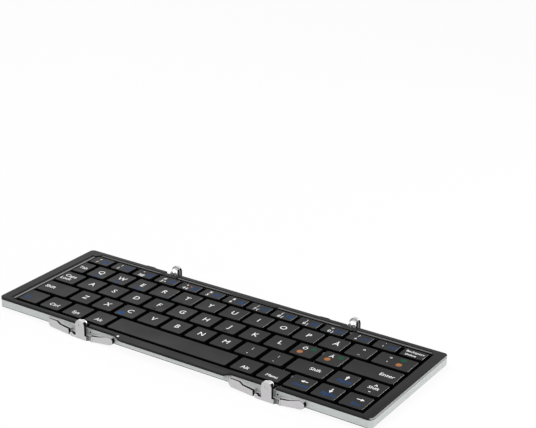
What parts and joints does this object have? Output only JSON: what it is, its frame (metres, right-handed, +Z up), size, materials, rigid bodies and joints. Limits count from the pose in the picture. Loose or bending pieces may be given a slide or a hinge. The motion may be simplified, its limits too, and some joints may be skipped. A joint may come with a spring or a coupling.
{
  "type": "folding keyboard",
  "caption": "Slim folding keyboard: two wings turn up and over the centre section on exposed metal hinges; stepped seams follow the keys.",
  "frame": {"origin": "on the table, below the middle of the open keyboard", "axes": "+X along the keyboard to the user's right, +Y away from the user, +Z up out of the keys"},
  "size_m": [0.2504, 0.0914, 0.0119],
  "materials": {
    "base_metal": "satin anodised aluminium",
    "deck_black": "fine matt moulded plastic",
    "guide_plate": "matt moulded plastic",
    "switch_panel": "laminated sheet with rubber contact domes",
    "foot_rubber": "soft rubber",
    "screw_steel": "plated steel",
    "flex_film": "polyimide film",
    "hinge_zinc": "satin die cast metal",
    "pin_chrome": "polished",
    "board_green": "solder mask",
    "battery_foil": "laminated foil",
    "socket_steel": "plated steel",
    "lens_white": "clear moulded plastic",
    "key_black": "matt moulded plastic with printed marks"
  },
  "bodies": {
    "centre_section": {"centre_base": "base_metal", "centre_deck": "deck_black", "centre_guide_plate": "guide_plate", "centre_switch_panel": "switch_panel", "centre_feet": "foot_rubber", "centre_screws": "screw_steel", "circuit_board": "board_green", "battery_cell": "battery_foil", "charging_socket": "socket_steel", "indicator_lens": "lens_white", "left_front_centre_leaf": "hinge_zinc", "left_front_pin": "pin_chrome", "left_back_centre_leaf": "hinge_zinc", "left_back_pin": "pin_chrome", "right_front_centre_leaf": "hinge_zinc", "right_back_centre_leaf": "hinge_zinc"},
    "left_wing": {"left_base": "base_metal", "left_deck": "deck_black", "left_guide_plate": "guide_plate", "left_switch_panel": "switch_panel", "left_feet": "foot_rubber", "left_screws": "screw_steel", "left_flex_cable": "flex_film", "left_front_wing_leaf": "hinge_zinc", "left_back_wing_leaf": "hinge_zinc"},
    "right_wing": {"right_base": "base_metal", "right_deck": "deck_black", "right_guide_plate": "guide_plate", "right_switch_panel": "switch_panel", "right_feet": "foot_rubber", "right_screws": "screw_steel", "right_flex_cable": "flex_film", "right_front_wing_leaf": "hinge_zinc", "right_front_pin": "pin_chrome", "right_back_wing_leaf": "hinge_zinc", "right_back_pin": "pin_chrome"},
    "escape_key": {"escape_key": "key_black"},
    "left_number_keys": {"left_number_keys": "key_black"},
    "tab_key": {"tab_key": "key_black"},
    "left_upper_keys": {"left_upper_keys": "key_black"},
    "caps_lock_key": {"caps_lock_key": "key_black"},
    "left_home_keys": {"left_home_keys": "key_black"},
    "left_shift_key": {"left_shift_key": "key_black"},
    "left_lower_keys": {"left_lower_keys": "key_black"},
    "left_bottom_keys": {"left_bottom_keys": "key_black"},
    "centre_number_keys": {"centre_number_keys": "key_black"},
    "centre_upper_keys": {"centre_upper_keys": "key_black"},
    "centre_home_keys": {"centre_home_keys": "key_black"},
    "centre_lower_keys": {"centre_lower_keys": "key_black"},
    "left_alt_key": {"left_alt_key": "key_black"},
    "space_bar": {"space_bar": "key_black"},
    "centre_bottom_keys": {"centre_bottom_keys": "key_black"},
    "right_number_keys": {"right_number_keys": "key_black"},
    "backspace_key": {"backspace_key": "key_black"},
    "right_upper_keys": {"right_upper_keys": "key_black"},
    "right_home_key": {"right_home_key": "key_black"},
    "enter_key": {"enter_key": "key_black"},
    "right_shift_key": {"right_shift_key": "key_black"},
    "corner_key": {"corner_key": "key_black"},
    "arrow_keys": {"arrow_keys": "key_black"}
  },
  "joints": [
    {"name": "left_fold", "type": "hinge", "parent": "centre_section", "child": "left_wing", "pos_m": [-0.06061, 0, 0.0087], "axis": [0, 1, 0], "range_deg": [0, 180]},
    {"name": "right_fold", "type": "hinge", "parent": "centre_section", "child": "right_wing", "pos_m": [0.06479, 0, 0.0087], "axis": [0, -1, 0], "range_deg": [0, 180]},
    {"name": "escape_key_travel", "type": "slide", "parent": "left_wing", "child": "escape_key", "axis": [0, 0, -1], "range_m": [0, 0.0012], "stiffness_N_per_m": 350, "springref_m": -0.0005},
    {"name": "left_number_keys_travel", "type": "slide", "parent": "left_wing", "child": "left_number_keys", "axis": [0, 0, -1], "range_m": [0, 0.0012], "stiffness_N_per_m": 700, "springref_m": -0.0005},
    {"name": "tab_key_travel", "type": "slide", "parent": "left_wing", "child": "tab_key", "axis": [0, 0, -1], "range_m": [0, 0.0012], "stiffness_N_per_m": 350, "springref_m": -0.0005},
    {"name": "left_upper_keys_travel", "type": "slide", "parent": "left_wing", "child": "left_upper_keys", "axis": [0, 0, -1], "range_m": [0, 0.0012], "stiffness_N_per_m": 1050, "springref_m": -0.0005},
    {"name": "caps_lock_key_travel", "type": "slide", "parent": "left_wing", "child": "caps_lock_key", "axis": [0, 0, -1], "range_m": [0, 0.0012], "stiffness_N_per_m": 350, "springref_m": -0.0005},
    {"name": "left_home_keys_travel", "type": "slide", "parent": "left_wing", "child": "left_home_keys", "axis": [0, 0, -1], "range_m": [0, 0.0012], "stiffness_N_per_m": 700, "springref_m": -0.0005},
    {"name": "left_shift_key_travel", "type": "slide", "parent": "left_wing", "child": "left_shift_key", "axis": [0, 0, -1], "range_m": [0, 0.0012], "stiffness_N_per_m": 350, "springref_m": -0.0005},
    {"name": "left_lower_keys_travel", "type": "slide", "parent": "left_wing", "child": "left_lower_keys", "axis": [0, 0, -1], "range_m": [0, 0.0012], "stiffness_N_per_m": 700, "springref_m": -0.0005},
    {"name": "left_bottom_keys_travel", "type": "slide", "parent": "left_wing", "child": "left_bottom_keys", "axis": [0, 0, -1], "range_m": [0, 0.0012], "stiffness_N_per_m": 1050, "springref_m": -0.0005},
    {"name": "centre_number_keys_travel", "type": "slide", "parent": "centre_section", "child": "centre_number_keys", "axis": [0, 0, -1], "range_m": [0, 0.0012], "stiffness_N_per_m": 2800, "springref_m": -0.0005},
    {"name": "centre_upper_keys_travel", "type": "slide", "parent": "centre_section", "child": "centre_upper_keys", "axis": [0, 0, -1], "range_m": [0, 0.0012], "stiffness_N_per_m": 2450, "springref_m": -0.0005},
    {"name": "centre_home_keys_travel", "type": "slide", "parent": "centre_section", "child": "centre_home_keys", "axis": [0, 0, -1], "range_m": [0, 0.0012], "stiffness_N_per_m": 2800, "springref_m": -0.0005},
    {"name": "centre_lower_keys_travel", "type": "slide", "parent": "centre_section", "child": "centre_lower_keys", "axis": [0, 0, -1], "range_m": [0, 0.0012], "stiffness_N_per_m": 2450, "springref_m": -0.0005},
    {"name": "left_alt_key_travel", "type": "slide", "parent": "centre_section", "child": "left_alt_key", "axis": [0, 0, -1], "range_m": [0, 0.0012], "stiffness_N_per_m": 350, "springref_m": -0.0005},
    {"name": "space_bar_travel", "type": "slide", "parent": "centre_section", "child": "space_bar", "axis": [0, 0, -1], "range_m": [0, 0.0012], "stiffness_N_per_m": 350, "springref_m": -0.0005},
    {"name": "centre_bottom_keys_travel", "type": "slide", "parent": "centre_section", "child": "centre_bottom_keys", "axis": [0, 0, -1], "range_m": [0, 0.0012], "stiffness_N_per_m": 700, "springref_m": -0.0005},
    {"name": "right_number_keys_travel", "type": "slide", "parent": "right_wing", "child": "right_number_keys", "axis": [0, 0, -1], "range_m": [0, 0.0012], "stiffness_N_per_m": 700, "springref_m": -0.0005},
    {"name": "backspace_key_travel", "type": "slide", "parent": "right_wing", "child": "backspace_key", "axis": [0, 0, -1], "range_m": [0, 0.0012], "stiffness_N_per_m": 350, "springref_m": -0.0005},
    {"name": "right_upper_keys_travel", "type": "slide", "parent": "right_wing", "child": "right_upper_keys", "axis": [0, 0, -1], "range_m": [0, 0.0012], "stiffness_N_per_m": 1050, "springref_m": -0.0005},
    {"name": "right_home_key_travel", "type": "slide", "parent": "right_wing", "child": "right_home_key", "axis": [0, 0, -1], "range_m": [0, 0.0012], "stiffness_N_per_m": 350, "springref_m": -0.0005},
    {"name": "enter_key_travel", "type": "slide", "parent": "right_wing", "child": "enter_key", "axis": [0, 0, -1], "range_m": [0, 0.0012], "stiffness_N_per_m": 350, "springref_m": -0.0005},
    {"name": "right_shift_key_travel", "type": "slide", "parent": "right_wing", "child": "right_shift_key", "axis": [0, 0, -1], "range_m": [0, 0.0012], "stiffness_N_per_m": 350, "springref_m": -0.0005},
    {"name": "corner_key_travel", "type": "slide", "parent": "right_wing", "child": "corner_key", "axis": [0, 0, -1], "range_m": [0, 0.0012], "stiffness_N_per_m": 350, "springref_m": -0.0005},
    {"name": "arrow_keys_travel", "type": "slide", "parent": "right_wing", "child": "arrow_keys", "axis": [0, 0, -1], "range_m": [0, 0.0012], "stiffness_N_per_m": 1400, "springref_m": -0.0005}
  ]
}
